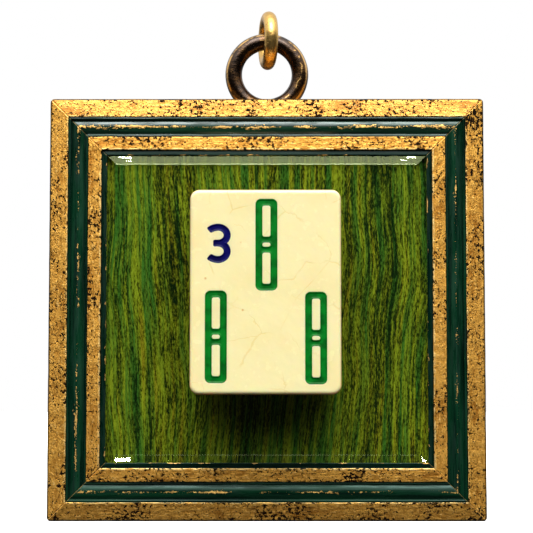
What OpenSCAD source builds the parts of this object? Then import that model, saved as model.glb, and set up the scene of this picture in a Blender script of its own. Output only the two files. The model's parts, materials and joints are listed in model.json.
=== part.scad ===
// Framed game tile: a carved three-of-bamboo tile fixed to bevelled glass in a small
// gilt and green lacquered frame, hung by a screw eye and a jump ring.
// Millimetres. The front faces -Y and +Z is up. The origin is the middle of the bottom
// edge, half way between the front and the back of the rails.
// In the sections below, "deep" is measured back from the foremost gilt edge, and
// "in" is measured from the outer edge of a rail towards the glass.

/* [Frame] */
// Outer width of the frame
frame_w = 67.1; // [58:0.1:90]
// Outer height of the frame
frame_h = 65; // [58:0.5:90]
// Depth of the rails from front to back
rail_depth = 12.5; // [11:0.5:20]
// Width of the outer gilt flat
outer_gilt_w = 2.9; // [2.2:0.05:4]
// Width of the green channel that holds the bead
channel_w = 3.05; // [2.7:0.05:4]
// Width of the inner gilt flat
inner_gilt_w = 2.1; // [1.6:0.05:3]
// Width of the green sight lip round the glass
sight_lip_w = 0.8; // [0.5:0.05:1.2]
// Diameter of the bead, of which a low arc stands in the channel
bead_d = 2.9; // [2.6:0.05:3]
// Width of the rabbet behind the inner flat and the lip
rabbet_w = 2.3; // [1.8:0.1:3]

/* [Glass and back] */
// Thickness of the glass at its middle
glass_t = 1.5; // [1.3:0.1:3]
// How deep the flat face of the glass lies
glass_deep = 0.35; // [0.25:0.05:0.45]
// Width of the bevel that shows inside the lip
bevel_show_w = 1.45; // [1:0.05:2.5]
// Thickness of the grained panel behind the glass
panel_t = 0.6; // [0.4:0.1:1.5]
// Thickness of the backing board
board_t = 2.5; // [1.5:0.1:3]

/* [Tile] */
// Width of the tile
tile_w = 22.3; // [18:0.1:26]
// Height of the tile
tile_h = 30.2; // [26:0.1:34]
// Thickness of the tile from front to back
tile_t = 11.6; // [9:0.1:15]
// Height of the tile's middle above the middle of the frame
tile_rise = 1.8; // [0:0.1:4]
// Sideways place of the tile's middle
tile_shift = -0.15; // [-1:0.05:1]
// Width of a bamboo stick
stick_w = 3.15; // [2.6:0.05:3.6]
// Height of a bamboo stick
stick_h = 13.5; // [11:0.1:14]
// Width of the line that draws a stick
stick_line_w = 0.9; // [0.6:0.05:1.1]
// Height of the waist between a stick's two windows
stick_waist_h = 2.25; // [1.8:0.05:3]
// Depth that the sticks are cut into the face
carve_deep = 0.3; // [0.2:0.05:0.6]

/* [Hanging rings] */
// Outer diameter of the screw eye
eye_od = 13.2; // [11:0.1:16]
// Diameter of the screw eye's wire
eye_wire_d = 2.7; // [2:0.1:3.2]
// How far the eye is bedded into the top rail
eye_sink = 1.75; // [1:0.05:2.4]
// Diameter of the eye's shank
shank_d = 2.4; // [1.6:0.1:3]
// Outer diameter of the jump ring
jump_od = 9.3; // [8.4:0.1:12]
// Diameter of the jump ring's wire
jump_wire_d = 2.2; // [1.4:0.1:2.3]
// Turn of the jump ring about the upright
jump_yaw = 8.5; // [0:0.1:12]
// Sideways place of the jump ring on the eye
jump_shift = 0.2; // [-1:0.05:1]

/* [Hidden] */
$fn = 64;

// How far every cut runs past what it cuts
overrun = 1;

// Moulding of a rail: falls of the flats, fillets beside the bead, and the lip
outer_fall = 0.4;
inner_fall = 0.12;
arris_r = 0.3;
fillet_w = 0.4;
outer_fillet_deep = 0.1;
inner_fillet_deep = 0.35;
channel_deep = 0.68;
bead_deep = 0.22;
lip_deep = 0.35;
lip_lean = 0.1;
lip_under_deep = 0.6;

// Edges of the bands, measured in
crest_in = outer_gilt_w;
flat_in = crest_in + channel_w;
lip_in = flat_in + inner_gilt_w;
rail_w = lip_in + sight_lip_w;
wall_in = rail_w - rabbet_w;

// The four sides in the order top, bottom, left, right
front_y = -rail_depth / 2;
side_lengths = [frame_w, frame_w, frame_h, frame_h];
side_turns = [0, 180, -90, 90];
side_places = [[0, frame_h], [0, 0], [-frame_w / 2, frame_h / 2], [frame_w / 2, frame_h / 2]];

// Clearances of the glass and the boards in the rabbet
side_gap = 0.2;
bevel_gap = 0.04;

// Bevelled glass: the bevel passes under the lip and lies along the slanted top of the rabbet
bevel_slope_share = (lip_under_deep + bevel_gap - glass_deep) / bevel_show_w;
rabbet_deep = lip_under_deep + rabbet_w * bevel_slope_share;
glass_w = frame_w - 2 * (wall_in + side_gap);
glass_h = frame_h - 2 * (wall_in + side_gap);
bevel_w = bevel_show_w + rabbet_w - side_gap;
bevel_drop = bevel_w * bevel_slope_share;
panel_deep = glass_deep + glass_t;
board_deep = panel_deep + panel_t;
points_deep = board_deep + board_t;

// Glazier's points that hold the board, and their slots
point_w = 4;
point_l = 4.2;
point_bite = 1.8;
point_t = 0.4;
point_place_share = 0.24;
slot_gap = 0.03;

// Steel wedges across the back of each mitre
wedge_in = 3.9;
wedge_leg = 2.6;
wedge_t = 0.35;
wedge_drive = 5;
wedge_sunk = 0.15;

// Tile: rounding, sticks, paint and the adhesive behind it
tile_corner_r = 1.4;
tile_edge_r = 0.55;
tile_mid_z = frame_h / 2 + tile_rise;
stick_corner_r = 0.75;
window_r = 0.45;
window_w = stick_w - 2 * stick_line_w;
window_h = (stick_h - 2 * stick_line_w - stick_waist_h) / 2;
window_mid = (window_h + stick_waist_h) / 2;
dot_h = 0.72;
// Places of the top, left and right stick from the tile's middle, across and up
stick_place_shares = [[0.006, 0.229], [-0.327, -0.22], [0.333, -0.226]];
paint_t = 0.22;
paint_gap = 0.02;
glue_w = 16;
glue_h = 22;
glue_t = 0.3;
tile_back_y = front_y + glass_deep - glue_t;
tile_front_y = tile_back_y - tile_t;

// Screw eye: its ring, its shank and the seat cut for them
eye_r = (eye_od - eye_wire_d) / 2;
eye_mid_z = frame_h - eye_sink + eye_od / 2;
eye_foot_z = eye_mid_z - eye_r;
shank_wall = 0.8;
shank_tip_z = frame_h - wall_in + shank_wall;
shank_point_h = 0.8;
shank_point_d = 1;
saddle_gap = 0.08;
bore_gap = 0.05;

// Jump ring: it hangs up from the eye, just clear of the eye's wire, with a butt joint
hang_gap = 0.88;
jump_r = (jump_od - jump_wire_d) / 2;
jump_mid_z = eye_mid_z + eye_r + jump_r - (jump_wire_d + eye_wire_d) / 2 - hang_gap;
butt_gap = 0.12;
butt_angle = 360 * butt_gap / (2 * PI * jump_r);

// Places what is drawn for the top rail, from its outer front edge, on one of the sides
module at_side(side) {
    place = side_places[side];
    translate([place[0], front_y, place[1]])
        rotate([0, side_turns[side], 0])
            children();
}

// Rectangle with round corners about the origin
module rounded_rect(w, h, r) {
    square([w - 2 * r, h], center = true);
    square([w, h - 2 * r], center = true);
    for (x = [-1, 1], y = [-1, 1])
        translate([x * (w / 2 - r), y * (h / 2 - r)])
            circle(r);
}

// Section of a rail: in along X, deep along Y
module rail_section() {
    difference() {
        polygon([
            [0, outer_fall],
            [crest_in, 0],
            [crest_in, outer_fillet_deep],
            [crest_in + fillet_w, outer_fillet_deep],
            [crest_in + fillet_w, channel_deep],
            [flat_in - fillet_w, channel_deep],
            [flat_in - fillet_w, inner_fillet_deep],
            [flat_in, inner_fillet_deep],
            [flat_in, inner_fall],
            [lip_in, 0],
            [lip_in, lip_deep + lip_lean],
            [rail_w, lip_deep],
            [rail_w, lip_under_deep],
            [wall_in, rabbet_deep],
            [wall_in, rail_depth],
            [0, rail_depth]
        ]);
        translate([0, outer_fall])
            difference() {
                translate([-overrun, -overrun])
                    square(arris_r + overrun);
                translate([arris_r, arris_r])
                    circle(arris_r);
            }
    }
    translate([(crest_in + flat_in) / 2, bead_deep + bead_d / 2])
        circle(d = bead_d);
}

// A rail with mitred ends, drawn as the top one
module mitred_rail(length) {
    end = length / 2;
    intersection() {
        rotate([0, 90, 0])
            linear_extrude(height = length + 2 * overrun, center = true)
                rail_section();
        translate([0, rail_depth + overrun, 0])
            rotate([90, 0, 0])
                linear_extrude(height = rail_depth + 2 * overrun)
                    polygon([
                        [-end - overrun, overrun],
                        [end + overrun, overrun],
                        [end - rail_w - overrun, -rail_w - overrun],
                        [-end + rail_w + overrun, -rail_w - overrun]
                    ]);
    }
}

// Two glazier's points of a side, drawn as the top one's
module point_pair(length, gap) {
    for (side = [-1, 1])
        translate([side * length * point_place_share, points_deep + point_t + gap, 0])
            rotate([90, 0, 0])
                linear_extrude(height = point_t + 2 * gap)
                    polygon([
                        [0, point_bite - wall_in + 2 * gap],
                        [point_w / 2 + gap, -wall_in],
                        [point_w / 2 + gap, point_bite - point_l - wall_in],
                        [-point_w / 2 - gap, point_bite - point_l - wall_in],
                        [-point_w / 2 - gap, -wall_in]
                    ]);
}

// The four corner wedges, each bent to a right angle over its mitre
module wedge_set(gap, lift) {
    outer = wedge_in + gap;
    inner = wedge_in - wedge_t - gap;
    tip = wedge_in - wedge_leg - gap;
    for (mx = [0, 1], mz = [0, 1])
        translate([0, rail_depth / 2 - wedge_sunk + lift, frame_h / 2])
            mirror([mx, 0, 0])
                mirror([0, 0, mz])
                    translate([-frame_w / 2, 0, -frame_h / 2])
                        rotate([90, 0, 0])
                            linear_extrude(height = wedge_drive + lift + gap)
                                polygon([
                                    [outer, outer],
                                    [tip, outer],
                                    [tip, inner],
                                    [inner, inner],
                                    [inner, tip],
                                    [outer, tip]
                                ]);
}

// A rail in its place with the slots for its points and wedges
module slotted_rail(side) {
    difference() {
        at_side(side)
            mitred_rail(side_lengths[side]);
        at_side(side)
            point_pair(side_lengths[side], slot_gap);
        wedge_set(slot_gap, wedge_sunk + overrun);
    }
}

// The eye's ring, swollen by a gap where it cuts its seat
module eye_ring(gap) {
    translate([0, 0, eye_mid_z])
        rotate([90, 0, 0])
            rotate_extrude()
                translate([eye_r, 0])
                    circle(d = eye_wire_d + 2 * gap);
}

// Outline of a glass or panel section: across along X, deep along Y
module glass_section(w) {
    edge = w / 2;
    polygon([
        [-edge, glass_deep + bevel_drop],
        [bevel_w - edge, glass_deep],
        [edge - bevel_w, glass_deep],
        [edge, glass_deep + bevel_drop],
        [edge, panel_deep],
        [-edge, panel_deep]
    ]);
}

// A plain sheet that fills the rabbet behind the glass
module rabbet_sheet(deep, t) {
    translate([-glass_w / 2, front_y + deep, (frame_h - glass_h) / 2])
        cube([glass_w, t, glass_h]);
}

// Lays an outline on the tile: its middle on the tile's middle, raised from front_face
module on_tile(front_face, t) {
    translate([tile_shift, front_face + t, tile_mid_z])
        rotate([90, 0, 0])
            linear_extrude(height = t)
                children();
}

// Tile block with round corners and softened edges
module tile_block() {
    translate([tile_shift, (tile_back_y + tile_front_y) / 2, tile_mid_z])
        intersection() {
            rotate([90, 0, 0])
                linear_extrude(height = tile_t, center = true)
                    rounded_rect(tile_w, tile_h, tile_corner_r);
            linear_extrude(height = tile_h, center = true)
                rounded_rect(tile_w, tile_t, tile_edge_r);
            rotate([0, 90, 0])
                linear_extrude(height = tile_w, center = true)
                    rounded_rect(tile_h, tile_t, tile_edge_r);
        }
}

// Outline of one bamboo stick: a ring with two windows and a dot at its waist
module stick_outline(place, gap) {
    translate([place[0] * tile_w, place[1] * tile_h])
        difference() {
            rounded_rect(stick_w - 2 * gap, stick_h - 2 * gap, stick_corner_r - gap);
            for (up = [-1, 1])
                translate([0, up * window_mid])
                    rounded_rect(window_w + 2 * gap, window_h + 2 * gap, window_r + gap);
            for (side = [-1, 1])
                translate([side * (window_w - dot_h) / 2, 0])
                    circle(d = dot_h + 2 * gap);
            square([window_w - dot_h, dot_h + 2 * gap], center = true);
        }
}

// Paint that lies on the floor of a carved stick
module stick_paint(place) {
    color([0.02, 0.42, 0.18])
        on_tile(tile_front_y + carve_deep - paint_t, paint_t)
            stick_outline(place, paint_gap);
}

module rail_top() {
    color([0.78, 0.6, 0.25])
        difference() {
            slotted_rail(0);
            eye_ring(saddle_gap);
            translate([0, 0, shank_tip_z - bore_gap])
                cylinder(d = shank_d + 2 * bore_gap, h = frame_h + overrun - shank_tip_z);
        }
}

module rail_bottom() {
    color([0.66, 0.48, 0.2])
        slotted_rail(1);
}

module rail_left() {
    color([0.72, 0.54, 0.22])
        slotted_rail(2);
}

module rail_right() {
    color([0.72, 0.54, 0.22])
        slotted_rail(3);
}

module bevelled_glass() {
    color([0.75, 0.85, 0.75, 0.35])
        translate([0, front_y, frame_h / 2])
            intersection() {
                linear_extrude(height = glass_h + 2 * overrun, center = true)
                    glass_section(glass_w);
                rotate([0, 90, 0])
                    linear_extrude(height = glass_w + 2 * overrun, center = true)
                        glass_section(glass_h);
            }
}

module grained_panel() {
    color([0.25, 0.4, 0.12])
        rabbet_sheet(panel_deep, panel_t);
}

module backing_board() {
    color([0.6, 0.45, 0.3])
        rabbet_sheet(board_deep, board_t);
}

module glazier_points() {
    color([0.7, 0.7, 0.72])
        for (side = [0 : len(side_lengths) - 1])
            at_side(side)
                point_pair(side_lengths[side], 0);
}

module corner_wedges() {
    color([0.6, 0.6, 0.63])
        wedge_set(0, 0);
}

module tile_body() {
    color([0.99, 0.94, 0.76])
        difference() {
            tile_block();
            on_tile(tile_front_y - overrun, carve_deep + overrun)
                for (place = stick_place_shares)
                    stick_outline(place, 0);
        }
}

module bamboo_top() {
    stick_paint(stick_place_shares[0]);
}

module bamboo_left() {
    stick_paint(stick_place_shares[1]);
}

module bamboo_right() {
    stick_paint(stick_place_shares[2]);
}

module tile_adhesive() {
    color([0.9, 0.9, 0.85, 0.6])
        on_tile(tile_back_y, glue_t)
            rounded_rect(glue_w, glue_h, tile_corner_r);
}

module screw_eye() {
    color([0.3, 0.22, 0.13]) {
        eye_ring(0);
        translate([0, 0, shank_tip_z + shank_point_h])
            cylinder(d = shank_d, h = eye_foot_z - shank_tip_z - shank_point_h);
        translate([0, 0, shank_tip_z])
            cylinder(d1 = shank_point_d, d2 = shank_d, h = shank_point_h);
    }
}

module jump_ring() {
    color([0.85, 0.66, 0.3])
        translate([jump_shift, 0, jump_mid_z])
            rotate([0, 0, jump_yaw])
                rotate([0, 90, 0])
                    rotate([0, 0, 90 + butt_angle / 2])
                        rotate_extrude(angle = 360 - butt_angle)
                            translate([jump_r, 0])
                                circle(d = jump_wire_d);
}

rail_top();
rail_bottom();
rail_left();
rail_right();
bevelled_glass();
grained_panel();
backing_board();
glazier_points();
corner_wedges();
tile_body();
bamboo_top();
bamboo_left();
bamboo_right();
tile_adhesive();
screw_eye();
jump_ring();
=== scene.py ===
"""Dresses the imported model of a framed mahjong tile: gilded and lacquered rails, bevelled glass over a
stained panel, a carved and painted tile, and brass rings. Metres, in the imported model's own frame:
the front faces -Y and +Z is up."""

import json
import math

import bmesh
import bpy
import numpy as np
from bpy.props import FloatProperty, FloatVectorProperty, PointerProperty
from bpy.types import Operator, Panel, PropertyGroup
from mathutils import Matrix, Vector, noise


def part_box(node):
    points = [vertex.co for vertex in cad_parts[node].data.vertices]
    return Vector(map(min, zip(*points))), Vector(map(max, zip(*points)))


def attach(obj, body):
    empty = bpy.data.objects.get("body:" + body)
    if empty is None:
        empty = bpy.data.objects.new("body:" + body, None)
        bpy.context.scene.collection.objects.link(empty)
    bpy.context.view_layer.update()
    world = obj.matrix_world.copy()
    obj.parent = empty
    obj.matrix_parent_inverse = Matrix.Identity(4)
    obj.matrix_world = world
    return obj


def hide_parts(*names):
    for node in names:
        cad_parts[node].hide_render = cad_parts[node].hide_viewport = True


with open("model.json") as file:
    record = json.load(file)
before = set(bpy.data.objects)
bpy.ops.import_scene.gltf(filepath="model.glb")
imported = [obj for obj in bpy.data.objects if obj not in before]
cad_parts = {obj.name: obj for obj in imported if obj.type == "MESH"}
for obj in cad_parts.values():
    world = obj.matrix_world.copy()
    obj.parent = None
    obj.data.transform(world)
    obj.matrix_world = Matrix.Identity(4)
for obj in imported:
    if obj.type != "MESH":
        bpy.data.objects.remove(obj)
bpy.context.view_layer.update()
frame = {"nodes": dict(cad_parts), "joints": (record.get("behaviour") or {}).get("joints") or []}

bl_info = {
    "name": "Framed Tile Dresser",
    "version": (1, 0, 0),
    "blender": (4, 5, 0),
    "location": "3D View > Sidebar > Framed Tile",
    "description": "Dresses a framed mahjong tile with gilding, lacquer, glass, paint and brass",
    "category": "Object",
}

MM = 0.001
PHOTO_SIDE = 533
SENSOR_W = 36.0
SIDES = ("top", "bottom", "left", "right")
STICKS = ("top", "left", "right")
RAIL_SEED = 31.0


# How fine the meshes are, and the small lengths within them

ARC_PARTS = 4  # parts of a rounded corner for each radian
BEAD_PARTS = 12  # parts of each half of the bead
FILLET_PARTS = 6  # parts of each half of a fillet
FILLET_TURN = math.radians(80)  # how far a fillet is rounded on either side
SECTION_STEP = 0.2 * MM  # longest step along a rail's section
STATION_STEP = 0.3 * MM  # step between two sections of a rail
END_STATIONS = (0.0, 0.04 * MM, 0.1 * MM, 0.2 * MM, 0.4 * MM)  # closer sections at a mitre
END_W = 0.7 * MM  # how far from a mitre the even steps start
CALM_W = 2.0 * MM  # how far from a mitre a rail's lines waver in full
GROOVE_W = 0.11 * MM  # how far from a mitre its groove reaches
FRONT_DEEP = 3.0 * MM  # how deep a rail's lines waver
WAVER_ALONG, WAVER_ACROSS = 0.16, 0.5  # how fast they waver, for each millimetre
WAVER_SIDE = 2.3  # how much faster they waver sideways than in depth
WAVER_SHIFT = Vector((9, 5, 3))  # sets the sideways waver apart from the one in depth
CUT_W = 1.0 * MM  # how far in a rail follows the frame's rounded corner
GLASS_GAP = 0.02 * MM  # gap between the glass and the panel
ARRIS_W = 0.06 * MM  # width of the glass's softened arrises
ARRIS_TURN = math.radians(8)  # least turn that makes an arris
ARRIS_PARTS = 4  # facets across an arris
TILE_ROUND_PARTS = 6  # parts of the tile's rounded edge
RIM_REACH = 0.3  # how far a mesh may reach past an outline, as a share of its pitch
LINE_TRIES = 3  # how often a point is drawn to an outline
PAINT_PITCH = 0.8  # pitch of the paint's mesh as a share of the tile's
PAINT_SINK = 0.01 * MM  # how far the paint's underside lies in the tile
PAINT_RIM = 0.012 * MM  # thickness of the paint at its rim
TAIL_OVER = 1.3  # how far the numeral's tails are drawn, to be cut at 1
TAIL_POINTS, BOWL_POINTS = 12, 32  # points along the numeral's tails and bowls
EYE_TURNS, EYE_SIDES = 128, 40  # sections of the screw eye's ring, and sides of each
JUMP_TURNS, JUMP_SIDES = 121, 36  # sections of the jump ring, and sides of each
DENT_SCALE = 3.0  # how fast dents follow one another round a ring
CLIP_START = 10.0 * MM  # nearest place that the camera sees

# Glints on the glass bevel: place (across, up) and size (wide, high), in millimetres

GLINTS = {
    "upper_left": ((-21.9, 55.85), (2.0, 0.28)),
    "lower_left": ((-21.5, 55.3), (1.0, 0.1)),
    "upper_right": ((22.3, 55.85), (1.3, 0.26)),
    "lower_right": ((21.1, 55.4), (1.0, 0.1)),
    "foot_left": ((-22.0, 9.3), (2.3, 0.6)),
    "foot_right": ((24.0, 9.4), (0.7, 0.8)),
}


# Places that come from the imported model, in metres

RAIL_LOW, RAIL_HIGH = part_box("rail_top")
FRAME_W = RAIL_HIGH[0] - RAIL_LOW[0]
FRAME_H = RAIL_HIGH[2]
FRONT_Y = RAIL_LOW[1]
BACK_Y = RAIL_HIGH[1]
RAIL_W = RAIL_HIGH[2] - RAIL_LOW[2]
GLASS_LOW, GLASS_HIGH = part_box("bevelled_glass")
TILE_LOW, TILE_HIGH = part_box("tile_body")
EYE_LOW, EYE_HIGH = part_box("screw_eye")
JUMP_LOW, JUMP_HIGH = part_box("jump_ring")
HINGE = frame["joints"][0]


# Properties that a user would change


def length(label, words, millimetres):
    """A length property, given in millimetres and kept in metres."""
    return FloatProperty(
        name=label, description=words, default=millimetres * MM, precision=5, unit="LENGTH"
    )


def colour(label, words, rgb):
    """A colour property, in linear light."""
    return FloatVectorProperty(
        name=label, description=words, default=rgb, min=0.0, max=1.0, size=3, subtype="COLOR"
    )


def angle(label, words, degrees):
    """An angle property, given in degrees and kept in radians."""
    return FloatProperty(
        name=label, description=words, default=math.radians(degrees), unit="ROTATION"
    )


class MouldingSizes(PropertyGroup):
    """Section of a rail: widths run in from the outer edge, depths back from the foremost edge"""

    outer_gilt_w: length("Outer flat", "Width of the outer gilt flat", 2.9)
    channel_w: length("Channel", "Width of the lacquered channel that holds the bead", 3.05)
    inner_gilt_w: length("Inner flat", "Width of the inner gilt flat", 2.1)
    rabbet_w: length("Rabbet", "Width of the rabbet behind the inner flat and the lip", 2.3)
    bead_d: length("Bead", "Diameter of the bead, of which a low arc stands in the channel", 3.6)
    bead_deep: length("Bead depth", "How deep the bead's crest lies", 0.22)
    outer_fall: length("Outer fall", "How far the outer flat falls back to the outer edge", 0.4)
    inner_fall: length("Inner fall", "How far the inner flat falls back to the channel", 0.12)
    fillet_w: length("Fillet", "Width of the fillet on either side of the bead", 0.4)
    outer_fillet_deep: length("Outer fillet depth", "How deep the outer fillet's crest lies", 0.1)
    inner_fillet_deep: length("Inner fillet depth", "How deep the inner fillet's crest lies", 0.35)
    channel_deep: length("Quirk depth", "How deep the quirk between fillet and bead is", 0.57)
    lip_deep: length("Lip depth", "How deep the sight edge of the lip lies", 0.35)
    lip_lean: length("Lip lean", "How far the lip falls back to the inner flat", 0.1)
    lip_under_deep: length("Lip underside", "How deep the sight edge of the lip's underside is", 0.6)
    bevel_show_w: length("Bevel", "Width of the glass bevel that shows inside the lip", 1.45)
    bevel_gap: length("Bevel gap", "Gap between the lip and the glass bevel", 0.04)
    facet_w: length("Facet", "Width of the steep facet where the bevel meets the face", 0.15)
    facet_h: length("Facet rise", "How far the glass rises over that facet", 0.06)
    edge_r: length("Outer edge", "Radius of the outer edges", 0.3)
    arris_r: length("Arris", "Radius of the gilt arrises", 0.12)
    quirk_r: length("Quirk", "Radius of the inner corners", 0.05)
    corner_r: length("Frame corner", "Radius of the frame's four corners", 0.6)
    mitre_deep: length("Mitre", "Depth of the fine groove along the mitre", 0.09)
    waver: length("Waver", "How far the hand-worked lines waver", 0.035)


class TileSizes(PropertyGroup):
    """Carving on the tile's face, measured from its middle"""

    corner_r: length("Corner", "Radius of the face's corners", 1.4)
    edge_r: length("Edge", "Radius of the softened edges", 0.55)
    carve_deep: length("Carving", "Depth of the carved lines", 0.3)
    carve_wall: length("Carved wall", "Width over which a carved line reaches its depth", 0.3)
    film_t: length("Paint", "Thickness of the paint in the carving", 0.13)
    spread: length("Spread", "How far the paint runs over the carved edge", 0.06)
    pitch: length("Mesh pitch", "Spacing of the mesh over the carved face", 0.1)
    stick_line_w: length("Stick line", "Width of the line that draws a stick", 0.9)
    stick_waist_h: length("Waist", "Height of the waist between a stick's windows", 2.25)
    stick_r: length("Stick corner", "Radius of a stick's corners", 0.75)
    window_r: length("Window corner", "Radius of a window's corners", 0.36)
    dot_h: length("Dot", "Height of the dot at the waist", 0.72)
    stroke_w: length("Stroke", "Width of the numeral's stroke", 1.0)
    numeral_x: length("Numeral", "Sideways place of the tops of the numeral's bowls", -6.97)
    numeral_top: length("Numeral top", "Height of the stroke's middle at the top", 9.49)
    numeral_waist: length("Numeral waist", "Height of the stroke's middle at the waist", 7.14)
    numeral_foot: length("Numeral foot", "Height of the stroke's middle at the foot", 4.71)
    bowl_w: length("Bowl", "How far the bowls reach to the right", 1.32)
    tail_w: length("Tail", "How far the two tails reach to the left", 1.38)
    tail_drop: length("Tail drop", "How far the tails bend back", 0.5)
    bar_w: length("Bar", "How far the bar reaches to the left of the bowls", 0.72)


class RingSizes(PropertyGroup):
    """The two hanging rings"""

    jump_wire_d: length("Jump wire", "Diameter of the jump ring's wire", 2.2)
    butt_gap: length("Butt joint", "Gap where the jump ring was closed", 0.12)
    dent: length("Dents", "Depth of the dents in the rings", 0.04)
    shank_d: length("Shank", "Diameter of the screw eye's shank", 2.4)
    point_d: length("Shank tip", "Diameter of the shank at its tip", 1.0)
    point_h: length("Shank point", "Height over which the shank tapers", 0.8)


class FinishColours(PropertyGroup):
    """Colours of the finishes, in linear light"""

    leaf_light: colour("Leaf", "Gold leaf where it is burnished", (0.88, 0.47, 0.085))
    # Painted highlight: this pale gold stands for light caught by the leaf
    leaf_highlight: colour("Pale leaf", "Gold leaf on the flecks that stand proud", (0.95, 0.66, 0.24))
    leaf_deep: colour("Toned leaf", "Gold leaf where it is toned", (0.42, 0.165, 0.018))
    ground: colour("Ground", "Dark ground that shows where the leaf is rubbed off", (0.016, 0.009, 0.005))
    lacquer: colour("Lacquer", "Green lacquer", (0.003, 0.03, 0.012))
    # Also used as painted shade on the lip
    lacquer_deep_and_shade: colour("Deep lacquer", "Lacquer where it lies thick", (0.0006, 0.008, 0.004))
    wood: colour("Bare wood", "Wood at the back of the rails", (0.24, 0.13, 0.055))
    grain_olive: colour("Olive grain", "Yellow-green bands of the panel", (0.125, 0.155, 0.005))
    grain_green: colour("Green grain", "Green bands of the panel", (0.022, 0.076, 0.006))
    grain_dark: colour("Dark grain", "Dark fibres of the panel", (0.002, 0.01, 0.001))
    grain_tawny: colour("Tawny grain", "Brown bands of the panel", (0.135, 0.112, 0.004))
    cream: colour("Cream", "The tile's face", (0.87, 0.775, 0.42))
    craze: colour("Crazing", "Fine age lines on the tile", (0.72, 0.49, 0.1))
    rust: colour("Rust", "Small specks on the tile", (0.62, 0.24, 0.03))
    # Painted shade on the tile's rounded edges and sides
    amber_edge_shade: colour("Amber", "The tile's sides, darkened with age", (0.5, 0.27, 0.07))
    stick: colour("Stick paint", "Green paint in the sticks", (0.0, 0.17, 0.012))
    numeral: colour("Numeral paint", "Navy paint in the numeral", (0.001, 0.001, 0.085))
    bronze: colour("Dark brass", "Antiqued brass of the screw eye", (0.046, 0.03, 0.021))
    bronze_warm: colour("Warm brass", "Antiqued brass where it is thin", (0.12, 0.058, 0.018))
    bronze_worn: colour("Worn brass", "Bare brass where it is rubbed", (0.7, 0.42, 0.14))
    brass: colour("Brass", "Polished brass of the jump ring", (0.74, 0.47, 0.14))
    steel: colour("Steel", "Points and wedges at the back", (0.5, 0.5, 0.52))
    board: colour("Board", "Fibreboard at the back", (0.3, 0.18, 0.09))
    lacquer_shine: colour("Lacquer shine", "Tint of the lacquer's reflections", (0.6, 1.0, 0.88))
    glass: colour("Glass", "Cast of the glass", (0.965, 1.0, 0.97))
    glass_light: colour("Light glass", "Cast of the glass where it is lightest", (0.975, 1.0, 0.98))
    glass_shade: colour("Glass shade", "Cast of the light that falls through the glass", (0.97, 1.0, 0.975))
    # Painted reflection: a green tint standing in for the lit green panel behind the bevel
    glass_painted_shine: colour("Glass shine", "Tint of the glass's reflections", (0.86, 1.0, 0.48))
    tarnish: colour("Tarnish", "Tarnish on the jump ring", (0.5, 0.27, 0.07))
    steel_rust: colour("Steel rust", "Rust on the points and wedges", (0.22, 0.1, 0.04))
    pad: colour("Pad", "Adhesive pad under the tile", (0.75, 0.75, 0.68))
    pad_bubble: colour("Bubbles", "Bubbles in the adhesive pad", (0.9, 0.9, 0.86))
    floor: colour("Floor", "Pale floor", (0.9, 0.9, 0.9))
    floor_light: colour("Light floor", "Pale floor where it is lightest", (0.93, 0.93, 0.93))


class StageSettings(PropertyGroup):
    """Camera and light"""

    camera_away: length("Distance", "Camera's distance from its aim", 270.0)
    camera_rise: angle("Elevation", "Camera's elevation seen from its aim", -4.42)
    camera_turn: angle("Turn", "Camera's turn to the right", 0.16)
    aim_x: length("Aim across", "Sideways place of the camera's aim", -0.04)
    aim_z: length("Aim height", "Height of the camera's aim", 38.88)
    focal_px: FloatProperty(
        name="Focal length", description="Focal length in pixels of the photograph", default=1757.0
    )
    lamp_place: FloatVectorProperty(
        name="Lamp",
        description="Place of the lamp overhead",
        default=(0.0, -0.43, 0.58),
        subtype="TRANSLATION",
        unit="LENGTH",
    )
    lamp_w: length("Lamp width", "Width of the lamp overhead", 450.0)
    lamp_d: length("Lamp depth", "Depth of the lamp overhead", 300.0)
    lamp_power: FloatProperty(
        name="Lamp power", description="Power of the lamp overhead", default=3.1, unit="POWER"
    )
    glint_away: length("Glint distance", "Distance from the glass to the lamps that glint in it", 1500.0)
    glint_glow: FloatProperty(
        name="Glint glow", description="Radiance of the lamps that glint in the glass", default=100.0
    )


# Shader maths


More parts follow.
